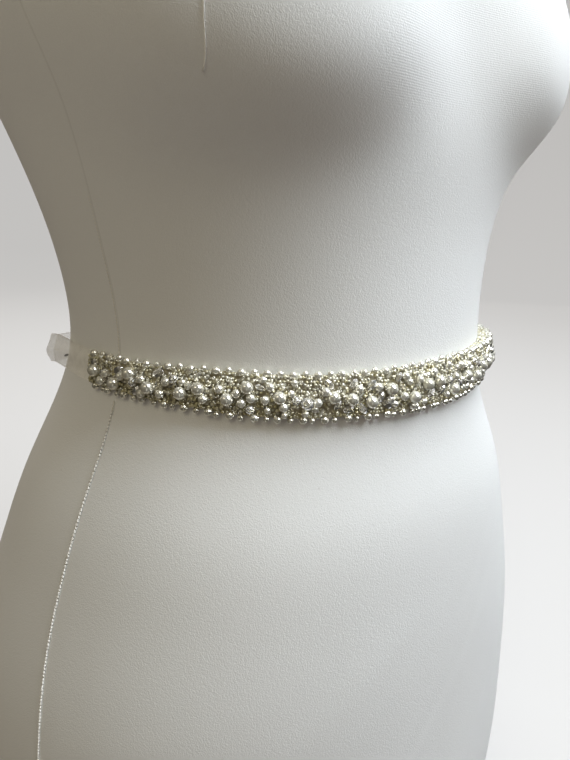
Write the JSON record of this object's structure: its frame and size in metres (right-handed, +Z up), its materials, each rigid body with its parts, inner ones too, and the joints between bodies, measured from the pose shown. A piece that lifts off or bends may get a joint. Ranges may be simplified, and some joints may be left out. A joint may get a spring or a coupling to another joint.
{
  "type": "bridal sash on a dress form",
  "caption": "Narrow pearl and crystal beaded bridal sash tied round the waist of a white jersey-covered dress form with sheer organza ribbons.",
  "frame": {"origin": "centre of the dress form's flat bottom, under its axis", "axes": "+Z up along the form, -Y towards its front, -X towards the wearer's right"},
  "size_m": [0.3418, 0.2613, 0.73],
  "materials": {
    "jersey": "matt fine white stretch jersey",
    "beads": "ivory pearls with clear and silver-lined glass beads",
    "organza": "sheer off-white organza with a faint shine"
  },
  "bodies": {
    "root": {"dress_form": "jersey", "bead_strip": "beads", "ribbon_right": "organza", "ribbon_left": "organza", "knot": "organza", "tail_right": "organza", "tail_left": "organza"}
  },
  "joints": []
}
